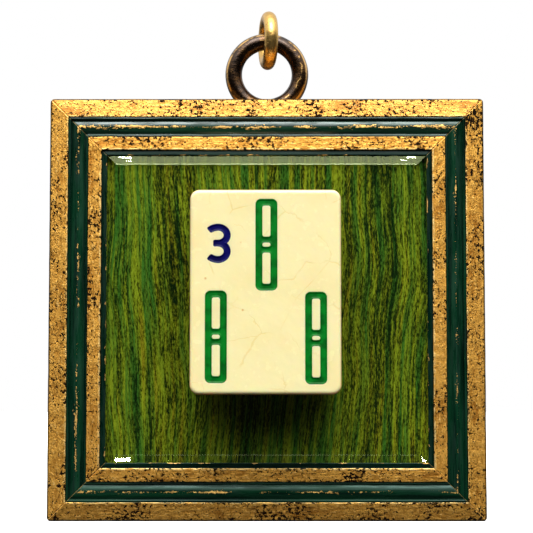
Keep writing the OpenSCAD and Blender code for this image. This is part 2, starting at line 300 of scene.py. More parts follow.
class Wire:
    """One output of a node, so that shader maths reads as Python expressions."""

    def __init__(self, socket):
        self.socket = socket

    def node(self, kind, settings=None, sockets=None, out=0):
        """Adds a node of a kind, with its settings first and then its sockets, and gives one output."""
        made = self.socket.id_data.nodes.new("ShaderNode" + kind)
        for name, value in (settings or {}).items():
            if name == "stops":
                set_stops(made.color_ramp, value)
            else:
                setattr(made, name, value)
        plug(made, sockets or {})
        return Wire(made.outputs[out])

    def maths(self, operation, first, second):
        """A Math node, or a Vector Math node where a vector is in the sum."""
        pair = (first, second)
        kind = "Math"
        if any(isinstance(x, Wire) and x.socket.type == "VECTOR" for x in pair):
            kind = "VectorMath"
            pair = [(x, x, x) if isinstance(x, (int, float)) else x for x in pair]
        return self.node(kind, {"operation": operation}, dict(enumerate(pair)))

    def __add__(self, other):
        return self.maths("ADD", self, other)

    def __sub__(self, other):
        return self.maths("SUBTRACT", self, other)

    def __rsub__(self, other):
        return self.maths("SUBTRACT", other, self)

    def __mul__(self, other):
        return self.maths("MULTIPLY", self, other)

    def __abs__(self):
        return self.maths("ABSOLUTE", self, 0.0)

    def either(self, other):
        """The larger of two values."""
        return self.maths("MAXIMUM", self, other)

    def step(self, low, high):
        """0 up to low, 1 from high on, and smooth between; with low above high it falls."""
        limits = {"Value": self, "From Min": min(low, high), "From Max": max(low, high)}
        rise = self.node("MapRange", {"interpolation_type": "SMOOTHSTEP"}, limits)
        return 1 - rise if low > high else rise

    def blend(self, first, second):
        """The colour that goes from first to second as this value goes from 0 to 1."""
        return self.node("Mix", {"data_type": "RGBA"}, {0: self, 6: first, 7: second}, out=2)

    def noise(self, scale, detail=3.0, rough=0.55):
        """Noise over this place, where scale is a number or one for each axis."""
        place = self * scale
        return place.node(
            "TexNoise", {}, {"Vector": place, "Scale": 1.0, "Detail": detail, "Roughness": rough}
        )

    def part(self, axis):
        """One part of this vector: X, Y or Z."""
        return self.node("SeparateXYZ", {}, {0: self}, out=axis)

    def bump(self, metres):
        """A normal that follows this height, which stands for so many metres."""
        return self.node("Bump", {}, {"Height": self, "Distance": metres})


def set_stops(ramp, stops):
    """Gives a colour ramp its stops: (place, colour)."""
    while len(ramp.elements) > 1:
        ramp.elements.remove(ramp.elements[-1])
    for number, (place, tint) in enumerate(stops):
        stop = ramp.elements[0] if number == 0 else ramp.elements.new(place)
        stop.position = place
        stop.color = (*tint, 1.0)


def plug(node, sockets):
    """Feeds a node's sockets with links or with plain values."""
    for key, value in sockets.items():
        socket = node.inputs[key]
        if isinstance(value, Wire):
            node.id_data.links.new(value.socket, socket)
        elif socket.type == "RGBA" and len(value) == 3:
            socket.default_value = (*value, 1.0)
        else:
            socket.default_value = value


def new_finish(name):
    """A new material, its Principled shader, and a wire with the place on the piece in millimetres."""
    material = bpy.data.materials.new(name)
    material.use_nodes = True
    shader = material.node_tree.nodes["Principled BSDF"]
    place = Wire(shader.outputs[0]).node("TexCoord", out="Object") * (1 / MM)
    return material, shader, place


# Finishes


def gilding(tints, marks):
    """Gold leaf and green lacquer over a dark ground; marks are places across the moulding, in mm."""
    material, shader, place = new_finish("gilding_and_lacquer")
    leaf_place = place.node("Attribute", {"attribute_name": "moulding"}, out="Vector")
    from_mitre = place.node("Attribute", {"attribute_name": "from_mitre"}, out="Fac")
    across = leaf_place.part("Y")

    mottle = leaf_place.noise(0.9, 5.0, 0.62)
    wrinkle = leaf_place.noise((0.8, 2.6, 1.0), 4.0, 0.65)
    grain = leaf_place.noise(4.2, 3.0, 0.6)
    patches = leaf_place.noise(0.19, 2.0, 0.5)
    toning = leaf_place.noise((0.11, 0.32, 1.0), 3.0, 0.6)

    # Where the leaf ends: the lines between gold and green waver and are chipped
    edge = across + (leaf_place.noise(0.55, 4.0, 0.65) - 0.5) * 0.42
    gold = edge.step(marks["crest"] + 0.03, marks["crest"] - 0.03)
    gold = gold.either(
        edge.step(marks["flat"] - 0.03, marks["flat"] + 0.03)
        * edge.step(marks["lip"] + 0.03, marks["lip"] - 0.03)
    )

    # Gold that shows through along the crest of the bead, in long ragged stretches
    wander = leaf_place.noise((0.09, 0.0, 1.0), 2.0) - 0.5
    from_crest = abs(across - marks["bead"] - wander * 0.5)
    ragged = leaf_place.noise((1.5, 3.4, 1.0), 4.0, 0.7)
    top_rail = leaf_place.part("Z").step(1.5 * RAIL_SEED, 1.2 * RAIL_SEED)
    rub = leaf_place.noise((0.2, 1.2, 1.0), 4.0, 0.65) + (patches - 0.5) * 0.3
    rub = rub + (ragged - 0.5) * 0.6 + (grain - 0.5) * 0.5 - from_crest * 0.5 + top_rail * 0.08
    rubbed = rub.step(0.545, 0.57)
    chips = leaf_place.noise((0.6, 1.6, 1.0), 3.0, 0.6) - abs(across - marks["sight"]) * 0.4
    # Painted highlight: each mitre is drawn as a pale gold glint, partly gold over the lacquer, with no
    # ground showing there
    mitre = from_mitre.step(0.08, 0.03)
    rubbed = rubbed.either(chips.step(0.57, 0.6)).either(mitre * 0.4)

    # Dark ground that shows through the leaf in clumps of specks, more along the arrises
    near_edge = abs(across - marks["crest"]).step(0.5, 0.0)
    for name, reach in (("outer", 0.6), ("flat", 0.35), ("lip", 0.35)):
        near_edge = near_edge.either(abs(across - marks[name]).step(reach, 0.0))
    worn = leaf_place.noise((1.6, 2.1, 1.0), 4.0, 0.66) + (patches - 0.5) * 0.5 + near_edge * 0.035
    clumps = leaf_place.noise((0.3, 0.5, 1.0), 3.0, 0.6)
    fine = leaf_place.noise((3.0, 3.4, 1.0), 3.0, 0.6) + (clumps - 0.5) * 0.55 + near_edge * 0.04
    specks = worn.step(0.575, 0.6).either(fine.step(0.62, 0.65))

    # Leaf, toned in patches and a little lighter near the arrises, with painted highlights on flecks, along
    # the arrises, at the mitres and on rubbed gold, and bare ground along the outer edge
    rim = abs(across - marks["outer"] + 0.05).step(0.34, 0.16)
    # Painted light: the side and bottom rails' leaf is a little lighter than the top rail's, to even out
    # how the light falls on them
    shade = mottle * 0.5 + wrinkle * 0.4 + grain * 0.3 + near_edge * 0.1 + (1 - top_rail) * 0.05
    shade = shade - toning.step(0.5, 0.7) * 0.14
    leaf = shade.step(0.42, 0.78).blend(tints.leaf_deep, tints.leaf_light)
    # Painted highlights: pale flecks over the leaf, pale lines along the crest and lip arrises, and paler
    # gold where it is rubbed through on the bead
    highlight_flecks = (wrinkle * 0.6 + grain * 0.6).step(0.66, 0.78)
    arrises = abs(across - marks["crest"] + 0.12).step(0.16, 0.04)
    arrises = arrises.either(abs(across - marks["lip"] + 0.2).step(0.24, 0.08))
    arris_highlight = arrises * wrinkle.step(0.42, 0.56)
    pale = (highlight_flecks * 0.7).either(arris_highlight).either(mitre).either(rubbed * (1 - gold) * 0.45)
    leaf = pale.blend(leaf, tints.leaf_highlight)

    # Lacquer, streaked along the rail and painted darker on the lip as shade, with a polish on the top rail
    streak = leaf_place.noise((0.05, 1.1, 1.0), 4.0, 0.6)
    # Painted shade: the lacquer on the lip, below the inner gilt flat, is darkened
    on_lip = across.step(marks["lip"] - 0.1, marks["lip"] + 0.1)
    thin = streak.step(0.35, 0.65) * (1 - on_lip * 0.75)
    lacquer = thin.blend(tints.lacquer_deep_and_shade, tints.lacquer)
    metal = gold.either(rubbed)
    bare = specks.either(rim * 0.8) * (1 - mitre) * gold
    tint = bare.blend(metal.blend(lacquer, leaf), tints.ground)
    dulled = leaf_place.noise((0.16, 1.3, 1.0), 4.0, 0.65).step(0.4, 0.62)
    rough = metal * (grain * 0.3 + 0.33) + (1 - metal) * (dulled * 0.3 + 0.2) + bare * 0.2
    polish = top_rail * (1 - dulled * 0.65) * (1 - on_lip * 0.85) + 0.06
    gloss = (1 - metal) * polish + metal * (1 - bare) * 0.4

    relief = metal * (mottle * 0.4 + wrinkle * 0.35 + grain * 0.2) + (1 - metal) * 0.2
    relief = relief + streak * 0.05 * (1 - gold) - bare * 0.12
    plug(
        shader,
        {
            "Base Color": tint,
            "Metallic": metal,
            "Roughness": rough,
            "Normal": relief.bump(0.22 * MM),
            "Coat Weight": gloss,
            "Coat Roughness": 0.2,
            "Specular IOR Level": 0.24,
            "Specular Tint": tints.lacquer_shine,
        },
    )
    return material


def bare_wood(name, tint, darkest=0.35, layer=None):
    """Planed wood with grain along X, or along the first part of a layer of places, and darker pores."""
    material, shader, place = new_finish(name)
    if layer:
        place = place.node("Attribute", {"attribute_name": layer}, out="Vector")
    grain = (place * (0.12, 1.3, 1.3)).noise(1.0, 5.0, 0.6)
    pores = (place * (0.6, 5.0, 5.0)).noise(1.0, 2.0, 0.5)
    dark = tuple(darkest * x for x in tint)
    shade = (grain * 0.8 + pores * 0.3).step(0.4, 0.75).blend(dark, tint)
    plug(shader, {"Base Color": shade, "Roughness": pores * 0.2 + 0.6, "Normal": pores.bump(0.05 * MM)})
    return material


def tints_of(tints, main):
    """Stops from the panel's dark fibres through a main colour to its light fibres."""
    light = tuple(min(1.0, 1.8 * x + 0.002) for x in main)
    half = tuple(0.35 * x for x in main)
    return [(0.25, tints.grain_dark), (0.42, half), (0.56, main), (0.8, light)]


def stained_grain(tints):
    """Green-stained veneer: long upright streaks of olive and green with dark and light fibres."""
    material, shader, place = new_finish("stained_veneer")
    sway = place.noise((0.1, 0.1, 0.02), 2.0) - 0.5
    lean = place.noise((0.04, 0.1, 0.035), 1.0) - 0.5
    drift = place + sway.node("CombineXYZ", {}, {"X": sway * 1.6 + lean * 7.0})
    bands = drift.noise((0.3, 0.1, 0.02), 2.0, 0.6)
    streaks = drift.noise((1.9, 0.1, 0.06), 3.0, 0.65)
    fibres = drift.noise((4.6, 0.1, 0.28), 3.0, 0.7)
    hairs = drift.noise((7.0, 0.1, 1.9), 2.0, 0.6)
    hue = (drift + 40.0).noise((1.15, 0.1, 0.035), 3.0, 0.62)
    light = bands * 0.6 + streaks * 0.7 + fibres * 1.2 + hairs * 1.2 - 1.32
    green, olive, tawny = (
        light.node("ValToRGB", {"stops": tints_of(tints, main)}, {0: light})
        for main in (tints.grain_green, tints.grain_olive, tints.grain_tawny)
    )
    olive = (hue.step(0.55, 0.68) * 0.85).blend(olive, tawny)
    tint = hue.step(0.36, 0.58).blend(green, olive)
    plug(
        shader,
        {
            "Base Color": tint,
            "Roughness": hairs * 0.2 + 0.45,
            "Normal": (fibres + hairs).bump(0.03 * MM),
            "Specular IOR Level": 0.02,
        },
    )
    return material


def clear_glass(tints):
    """Polished glass that lets the lamps through to what lies behind it."""
    material, shader, place = new_finish("clear_glass")
    cast = place.noise(0.05, 2.0).blend(tints.glass, tints.glass_light)
    plug(
        shader,
        {
            "Base Color": cast,
            "Roughness": 0.0,
            # Painted reflection: the reflections are tinted green, standing in for the lit panel seen
            # through the bevel
            "Specular Tint": tints.glass_painted_shine,
            "IOR": 1.63,
            "Transmission Weight": 1.0,
        },
    )
    path = place.node("LightPath", out="Is Shadow Ray")
    diffuse = path.socket.node.outputs["Is Diffuse Ray"]
    clear = place.node("BsdfTransparent", {}, {"Color": tints.glass_shade})
    mixed = path.node(
        "MixShader", {}, {0: path.either(Wire(diffuse)), 1: Wire(shader.outputs[0]), 2: clear}
    )
    output = material.node_tree.nodes["Material Output"]
    plug(output, {"Surface": mixed})
    return material


def crazed_cream(tints):
    """Polished cream tile with fine age lines, stains and specks, and painted amber shade on its edges and
    sides.
    """
    material, shader, place = new_finish("crazed_cream")
    bend = place.node("TexNoise", {}, {"Vector": place, "Scale": 0.22, "Detail": 4.0}, out="Color")
    bent = place + (bend - 0.5) * 5.0
    cells = bent.node(
        "TexVoronoi", {"feature": "DISTANCE_TO_EDGE"}, {"Vector": bent, "Scale": 0.15}
    )
    lines = cells.step(0.02, 0.0) * place.noise(0.16, 3.0).step(0.44, 0.62)
    stains = place.noise(0.12, 2.0).step(0.42, 0.7)
    dots = place.node("TexVoronoi", {}, {"Vector": place, "Scale": 0.24})
    specks = dots.step(0.06, 0.02) * place.noise(0.3, 1.0).step(0.48, 0.54)
    tint = (stains * 0.14).blend(tints.cream, tints.craze)
    tint = (lines * 0.32).blend(tint, tints.craze)
    tint = (specks * 0.7).blend(tint, tints.rust)
    # Painted shade: from just behind the face, the rounded edges and sides turn amber
    turned = place.part("Y") - TILE_LOW[1] / MM
    tint = (turned.step(0.05, 0.5) * 0.9).blend(tint, tints.amber_edge_shade)
    plug(
        shader,
        {
            "Base Color": tint,
            "Roughness": place.noise(0.8).step(0.3, 0.7) * 0.08 + 0.2,
            "Normal": (place.noise(0.5, 2.0) - lines * 0.2).bump(0.05 * MM),
            "Coat Weight": 0.3,
            "Subsurface Weight": 0.5,
            "Subsurface Radius": (1.0, 0.55, 0.25),
            "Subsurface Scale": 1.2 * MM,
        },
    )
    return material


def carved_paint(name, tint):
    """Glossy enamel in a carved line, thinner and darker in places."""
    material, shader, place = new_finish(name)
    pool = place.noise(0.7, 3.0)
    dark = tuple(0.5 * x for x in tint)
    plug(
        shader,
        {
            "Base Color": pool.step(0.3, 0.6).blend(dark, tint),
            "Roughness": place.noise(2.5, 2.0) * 0.15 + 0.3,
            "Normal": pool.bump(0.03 * MM),
            "Specular IOR Level": 0.12,
        },
    )
    return material


def antique_brass(tints, middle, girth):
    """Browned brass, rubbed bright along the outer edge; middle and girth are the ring's own."""
    material, shader, place = new_finish("antique_brass")
    flat = (place - tuple(x / MM for x in middle)) * (1.0, 0.0, 1.0)
    reach = flat.node("VectorMath", {"operation": "LENGTH"}, {0: flat}, out="Value")
    outward = (reach - girth[0] / MM) * (MM / girth[1])
    cloud = place.noise(0.35, 4.0, 0.6)
    pits = place.noise(2.2, 4.0, 0.65)
    wander = place.noise(0.22, 3.0) - 0.5
    rubbed = abs(outward - wander * 0.3 - 0.74).step(0.15, 0.04) * cloud.step(0.36, 0.48)
    streak = abs(outward - wander * 2.0 - 0.1).step(0.1, 0.03) * cloud.step(0.52, 0.6)
    rubbed = rubbed.either(streak)
    warm = cloud.step(0.42, 0.66).blend(tints.bronze, tints.bronze_warm)
    tint = rubbed.blend(warm, tints.bronze_worn)
    plug(
        shader,
        {
            "Base Color": tint,
            "Metallic": 1.0,
            "Roughness": pits * 0.2 + 0.14,
            "Normal": (pits * 0.5 + cloud).bump(0.1 * MM),
            "Coat Weight": 0.3,
            "Coat Roughness": 0.15,
        },
    )
    return material


def polished_brass(tints):
    """Bright brass with small pits and a little tarnish."""
    material, shader, place = new_finish("polished_brass")
    cloud = place.noise(0.5, 3.0)
    pits = place.noise(3.2, 4.0, 0.65)
    pitted = pits.step(0.66, 0.72)
    tarnish = (cloud * 0.7 + pits * 0.4).step(0.5, 0.72)
    tint = (tarnish * 0.55).blend(tints.brass, tints.tarnish)
    tint = (pitted * 0.8).blend(tint, tints.ground)
    plug(
        shader,
        {
            "Base Color": tint,
            "Metallic": 1.0,
            "Roughness": pits * 0.2 + 0.22,
            "Normal": (cloud * 1.2 - pitted * 0.25).bump(0.14 * MM),
        },
    )
    return material


def stamped_steel(tints):
    """Stamped steel with rolling marks and light rust."""
    material, shader, place = new_finish("stamped_steel")
    rolled = place.noise((0.3, 6.0, 6.0), 3.0)
    rust = place.noise(0.8, 5.0, 0.65).step(0.58, 0.7)
    tint = (rust * 0.6).blend(tints.steel, tints.steel_rust)
    plug(shader, {"Base Color": tint, "Metallic": 1 - rust * 0.7, "Roughness": rolled * 0.3 + 0.25})
    return material


def clear_pad(tints):
    """Clear adhesive pad with a few trapped bubbles."""
    material, shader, place = new_finish("clear_pad")
    bubbles = place.noise(1.4, 3.0).step(0.55, 0.7)
    tint = bubbles.blend(tints.pad, tints.pad_bubble)
    plug(shader, {"Base Color": tint, "Roughness": bubbles * 0.3 + 0.3})
    return material


# Meshes


def add_piece(name, mesh, materials, body, nodes):
    """Puts a mesh in the scene as a piece that rides on a body and stands for CAD nodes."""
    for material in materials:
        mesh.materials.append(material)
    piece = bpy.data.objects.new(name, mesh)
    bpy.context.scene.collection.objects.link(piece)
    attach(piece, body)
    if nodes:
        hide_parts(*nodes)
    return piece


def mesh_of(name, points, faces):
    """A smooth mesh from points and faces, with its faces turned outwards."""
    mesh = bpy.data.meshes.new(name)
    mesh.from_pydata([tuple(p) for p in points], [], faces)
    work = bmesh.new()
    work.from_mesh(mesh)
    bmesh.ops.recalc_face_normals(work, faces=work.faces)
    work.to_mesh(mesh)
    work.free()
    mesh.polygons.foreach_set("use_smooth", [True] * len(mesh.polygons))
    return mesh


def flatten_ends(mesh):
    """Shades the two flat ends of an open loft flat."""
    for end in (-1, -2):
        mesh.polygons[end].use_smooth = False


def shifted(x, y, z):
    """A matrix that moves by so much."""
    return Matrix.Translation((x, y, z))


def loft_faces(count, sides, closed):
    """Faces through so many sections of so many sides, with flat ends where the loft is open."""
    faces = []
    for r in range(count if closed else count - 1):
        ahead = (r + 1) % count
        for k in range(sides):
            beside = (k + 1) % sides
            faces.append((r * sides + k, r * sides + beside, ahead * sides + beside, ahead * sides + k))
    if not closed:
        faces.append(tuple(range(sides)))
        faces.append(tuple(range((count - 1) * sides, count * sides)))
    return faces


def softened(corners, step):
    """Points of a closed outline of corners (x, y, radius), rounded, no further apart than step."""
    rounded = []
    for number, (x, y, radius) in enumerate(corners):
        here = Vector((x, y))
        if radius == 0:
            rounded.append(here)
            continue
        back = (Vector(corners[number - 1][:2]) - here).normalized()
        ahead = (Vector(corners[(number + 1) % len(corners)][:2]) - here).normalized()
        half = back.angle(ahead) / 2
        middle = here + (back + ahead).normalized() * radius / math.sin(half)
        start = here + back * radius / math.tan(half) - middle
        turn = (here + ahead * radius / math.tan(half) - middle).angle_signed(start)
        pieces = max(2, round(abs(turn) * ARC_PARTS))
        for part in range(pieces + 1):
            lean = turn * part / pieces
            cos, sin = math.cos(lean), math.sin(lean)
            arm = Vector((start.x * cos - start.y * sin, start.x * sin + start.y * cos))
            rounded.append(middle + arm)
    points = []
    for first, second in zip(rounded, rounded[1:] + rounded[:1]):
        pieces = max(1, math.ceil((second - first).length / step))
        points += [first.lerp(second, part / pieces) for part in range(pieces)]
    return np.array(points)


def bevel_slope(sizes):
    """How far the glass bevel falls back over a length of its width."""
    return (FRONT_Y + sizes.lip_under_deep + sizes.bevel_gap - GLASS_LOW[1]) / sizes.bevel_show_w


def rail_section(sizes):
    """Points of a rail's section (in, deep), the run along them, and the places of its bands, in metres."""
    depth = BACK_Y - FRONT_Y
    crest = sizes.outer_gilt_w
    flat = crest + sizes.channel_w
    lip = flat + sizes.inner_gilt_w
    wall = RAIL_W - sizes.rabbet_w
    middle = (crest + flat) / 2
    bead_r = sizes.bead_d / 2
    bead_turn = math.acos((sizes.bead_deep + bead_r - sizes.channel_deep) / bead_r)
    fillet_r = sizes.fillet_w / 2

    def arch(mid, radius, deep, reach, parts):
        """Corners over an arch whose top lies so deep, out to a turn on either side."""
        turns = [reach * (part / parts - 1) for part in range(2 * parts + 1)]
        return [(mid + radius * math.sin(a), deep + radius * (1 - math.cos(a)), 0) for a in turns]

    def fillet(mid, deep):
        """Corners over a fillet whose top lies so deep."""
        return arch(mid, fillet_r, deep, FILLET_TURN, FILLET_PARTS)

    corners = [
        (0, depth, sizes.edge_r),
        (0, sizes.outer_fall, sizes.edge_r),
        (crest, 0, sizes.arris_r),
        *fillet(crest + fillet_r, sizes.outer_fillet_deep),
        (crest + sizes.fillet_w, sizes.channel_deep, sizes.quirk_r),
        *arch(middle, bead_r, sizes.bead_deep, bead_turn, BEAD_PARTS),
        (flat - sizes.fillet_w, sizes.channel_deep, sizes.quirk_r),
        *fillet(flat - fillet_r, sizes.inner_fillet_deep),
        (flat, sizes.inner_fall, sizes.arris_r),
        (lip, 0, sizes.arris_r),
        (lip, sizes.lip_deep + sizes.lip_lean, sizes.quirk_r),
        (RAIL_W, sizes.lip_deep, sizes.quirk_r * 2),
        (RAIL_W, sizes.lip_under_deep, sizes.quirk_r),
        (wall, sizes.lip_under_deep + sizes.rabbet_w * bevel_slope(sizes), sizes.quirk_r),
        (wall, depth, sizes.arris_r),
    ]
    points = softened(corners, SECTION_STEP)
    gaps = np.linalg.norm(np.diff(points, axis=0), axis=1)
    runs = np.concatenate([[0.0], np.cumsum(gaps)])

    def run_at(across, deep):
        """The run along the section at its point nearest to a place."""
        return runs[np.argmin(np.hypot(points[:, 0] - across, points[:, 1] - deep))]

    # The leaf ends a third of the way down the walls beside the gilt flats
    wall_share = 0.35
    bands = {
        "outer": run_at(0, sizes.outer_fall),
        "crest": run_at(crest, sizes.outer_fillet_deep * wall_share),
        "bead": run_at(middle, sizes.bead_deep),
        "flat": run_at(flat, sizes.inner_fillet_deep * wall_share),
        "lip": run_at(lip, sizes.lip_deep * wall_share),
        "sight": run_at(RAIL_W, sizes.lip_deep),
        "under": run_at(RAIL_W, sizes.lip_under_deep),
    }
    return points, runs, bands


def side_frame(side):
    """Middle of a side's outer edge (x, z), the way along it and the way in, as turned from the top."""
    turned = {
        "top": ((0, FRAME_H), (1, 0), (0, -1)),
        "bottom": ((0, 0), (-1, 0), (0, 1)),
        "left": ((-FRAME_W / 2, FRAME_H / 2), (0, 1), (1, 0)),
        "right": ((FRAME_W / 2, FRAME_H / 2), (0, -1), (-1, 0)),
    }
    return [Vector(x) for x in turned[side]]


def rail_mesh(side, section, runs, bands, sizes):
    """One rail: its section swept between two mitres, with lines that waver a little."""
    origin, way, inward = side_frame(side)
    half = (FRAME_W if side in ("top", "bottom") else FRAME_H) / 2
    middle = np.linspace(END_W, 2 * half - END_W, round(2 * half / STATION_STEP))
    far_end = 2 * half - np.array(END_STATIONS[::-1])
    stations = np.concatenate([END_STATIONS, middle, far_end]) / half - 1
    seed = RAIL_SEED * (1 + SIDES.index(side))
    points, places, ends_at = [], [], []
    for station in stations:
        from_end = (1 - abs(station)) * half
        calm = min(1.0, from_end / CALM_W)
        groove = sizes.mitre_deep * max(0.0, 1 - from_end / GROOVE_W)
        near = min(from_end, sizes.corner_r)
        cut = sizes.corner_r - (near + math.sqrt(2 * sizes.corner_r**2 - near**2)) / 2
        for (across, deep), run in zip(section, runs):
            across_cut = across + cut * max(0.0, 1 - across / CUT_W)
            along = station * (half - across_cut)
            front = max(0.0, 1 - deep / FRONT_DEEP)
            spot = Vector((along / MM * WAVER_ALONG, across / MM * WAVER_ACROSS, seed))
            shift = sizes.waver * calm * front
            deeper = deep + shift * (0.5 + 0.5 * noise.noise(spot)) + groove * front
            across_now = across_cut + shift * noise.noise(spot * WAVER_SIDE + WAVER_SHIFT)
            flat = origin + way * along + inward * max(0.0, across_now)
            points.append((flat.x, FRONT_Y + deeper, flat.y))
            places.append((along / MM, run / MM, seed))
            ends_at.append(from_end / MM)
    count, rows = len(section), len(stations)
    mesh = mesh_of("rail_" + side, points, loft_faces(rows, count, False))
    flatten_ends(mesh)
    bare = [int(run > bands["under"]) for run in runs]
    mesh.polygons.foreach_set("material_index", bare * (rows - 1) + [1, 1])
    layer = mesh.attributes.new("moulding", "FLOAT_VECTOR", "POINT")
    layer.data.foreach_set("vector", np.array(places, np.float32).ravel())
    layer = mesh.attributes.new("from_mitre", "FLOAT", "POINT")
    layer.data.foreach_set("value", np.array(ends_at, np.float32))
    return mesh


def box_field(x, z, wide, high, radius):
    """Signed distance to a rectangle with round corners about the origin."""
    dx = np.abs(x) - wide / 2 + radius
    dz = np.abs(z) - high / 2 + radius
    return np.hypot(np.maximum(dx, 0), np.maximum(dz, 0)) + np.minimum(np.maximum(dx, dz), 0) - radius


def stick_field(x, z, sizes, wide, high):
    """Signed distance to a bamboo stick about the origin: a ring with two windows and a dot."""
    window_w = wide - 2 * sizes.stick_line_w
    window_h = (high - 2 * sizes.stick_line_w - sizes.stick_waist_h) / 2
    window_mid = (window_h + sizes.stick_waist_h) / 2
    field = box_field(x, z, wide, high, sizes.stick_r)
    for up in (-1, 1):
        window = box_field(x, z - up * window_mid, window_w, window_h, sizes.window_r)
        field = np.maximum(field, -window)
    return np.maximum(field, -box_field(x, z, window_w, sizes.dot_h, sizes.dot_h / 2))


def line_field(x, z, points):
    """Distance to a line through points."""
    nearest = np.full(np.shape(x), np.inf)
    for (ax, az), (bx, bz) in zip(points, points[1:]):
        dx, dz = bx - ax, bz - az
        along = np.clip(((x - ax) * dx + (z - az) * dz) / (dx * dx + dz * dz), 0, 1)
        nearest = np.minimum(nearest, np.hypot(x - ax - along * dx, z - az - along * dz))
    return nearest


def numeral_field(x, z, sizes):
    """Signed distance to the numeral 3: two bowls, a bar at the waist and tails cut almost square."""
    tail_r = (sizes.tail_w**2 + sizes.tail_drop**2) / (2 * sizes.tail_drop)
    tail_turn = math.asin(sizes.tail_w / tail_r)
    soft = sizes.stroke_w / 4
    field = np.full(np.shape(x), np.inf)
    for tip, up in ((sizes.numeral_top, 1), (sizes.numeral_foot, -1)):
        mid = (tip + sizes.numeral_waist) / 2
        rise = (tip - sizes.numeral_waist) / 2
        tail = [
            (sizes.numeral_x - tail_r * math.sin(a), tip - up * tail_r * (1 - math.cos(a)))
            for a in np.linspace(tail_turn * TAIL_OVER, 0, TAIL_POINTS)
        ]
        bowl = [
            (sizes.numeral_x + sizes.bowl_w * math.cos(a), mid + rise * math.sin(a))
            for a in np.linspace(math.pi / 2, -math.pi / 2, BOWL_POINTS)
        ]
        end_x = sizes.numeral_x - tail_r * math.sin(tail_turn)
        end_z = tip - up * tail_r * (1 - math.cos(tail_turn))
        past = -(x - end_x) * math.cos(tail_turn) - up * (z - end_z) * math.sin(tail_turn)
        beside, beyond = line_field(x, z, tail) - sizes.stroke_w / 2 + soft, past + soft
        corner = np.hypot(np.maximum(beside, 0), np.maximum(beyond, 0)) - soft
        field = np.minimum(field, corner + np.minimum(np.maximum(beside, beyond), 0))
        field = np.minimum(field, line_field(x, z, bowl) - sizes.stroke_w / 2)
    bar_x = sizes.numeral_x - sizes.bar_w / 2
    bar = box_field(x - bar_x, z - sizes.numeral_waist, sizes.bar_w, sizes.stroke_w, soft)
    return np.minimum(field, bar)


def slope_of(field, x, z, reach=0.001 * MM):
    """Way in which a field grows, as unit vectors."""
    dx = field(x + reach, z) - field(x - reach, z)
    dz = field(x, z + reach) - field(x, z - reach)
    size = np.maximum(np.hypot(dx, dz), 1e-12)
    return dx / size, dz / size


def drawn_to_line(field, x, z):
    """Points moved straight onto a field's zero line."""
    for _ in range(LINE_TRIES):
        dx, dz = slope_of(field, x, z)
        off = field(x, z)
        x, z = x - off * dx, z - off * dz
    return x, z


def patch(field, low, high, pitch):
    """Squares that cover field < 0, with their rim drawn onto its zero line: x, z and faces."""
    xs = np.linspace(low[0], high[0], max(2, round((high[0] - low[0]) / pitch)) + 1)
    zs = np.linspace(low[1], high[1], max(2, round((high[1] - low[1]) / pitch)) + 1)
    x, z = np.meshgrid(xs, zs)
    inside = field(x, z) < RIM_REACH * pitch
    kept = inside[:-1, :-1] & inside[1:, :-1] & inside[:-1, 1:] & inside[1:, 1:]
    corners = np.zeros(x.shape, int)
    for dr in (0, 1):
        for dc in (0, 1):
            corners[dr : dr + kept.shape[0], dc : dc + kept.shape[1]] += kept
    used = corners > 0
    rim = used & (corners < 4)
    x[rim], z[rim] = drawn_to_line(field, x[rim], z[rim])
    number = np.cumsum(used).reshape(used.shape) - 1
    faces = [
        (number[r, c], number[r, c + 1], number[r + 1, c + 1], number[r + 1, c])
        for r, c in zip(*np.nonzero(kept))
    ]
    return x[used], z[used], [tuple(int(n) for n in face) for face in faces]


def smooth(value):
    """Smooth step from 0 to 1."""
    value = np.clip(value, 0, 1)
    return value * value * (3 - 2 * value)


def carved(inside, sizes):
    """Depth of a carved line at a distance inside its outline."""
    return sizes.carve_deep * smooth(inside / sizes.carve_wall)


def tile_middle():
    """Middle of the tile's face, x and z."""
    return (TILE_LOW[0] + TILE_HIGH[0]) / 2, (TILE_LOW[2] + TILE_HIGH[2]) / 2


def carvings(sizes):
    """The carved fields, from the tile's middle: name, box and signed distance."""
    mid_x, mid_z = tile_middle()
    made = []
    for name in STICKS:
        low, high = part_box("bamboo_" + name)
        wide, tall = high[0] - low[0], high[2] - low[2]
        at_x, at_z = (low[0] + high[0]) / 2 - mid_x, (low[2] + high[2]) / 2 - mid_z

        def field(x, z, at_x=at_x, at_z=at_z, wide=wide, tall=tall):
            """Signed distance to this stick, with its paint run over the edge."""
            return stick_field(x - at_x, z - at_z, sizes, wide, tall) - sizes.spread

        reach = (wide / 2 + sizes.pitch, tall / 2 + sizes.pitch)
        box = ((at_x - reach[0], at_z - reach[1]), (at_x + reach[0], at_z + reach[1]))
        made.append((name, box, field))
    margin = sizes.stroke_w
    left = sizes.numeral_x - sizes.tail_w - margin
    right = sizes.numeral_x + sizes.bowl_w + margin
    box = ((left, sizes.numeral_foot - margin), (right, sizes.numeral_top + margin))
    made.append(("numeral", box, lambda x, z: numeral_field(x, z, sizes) - sizes.spread / 3))
    return made


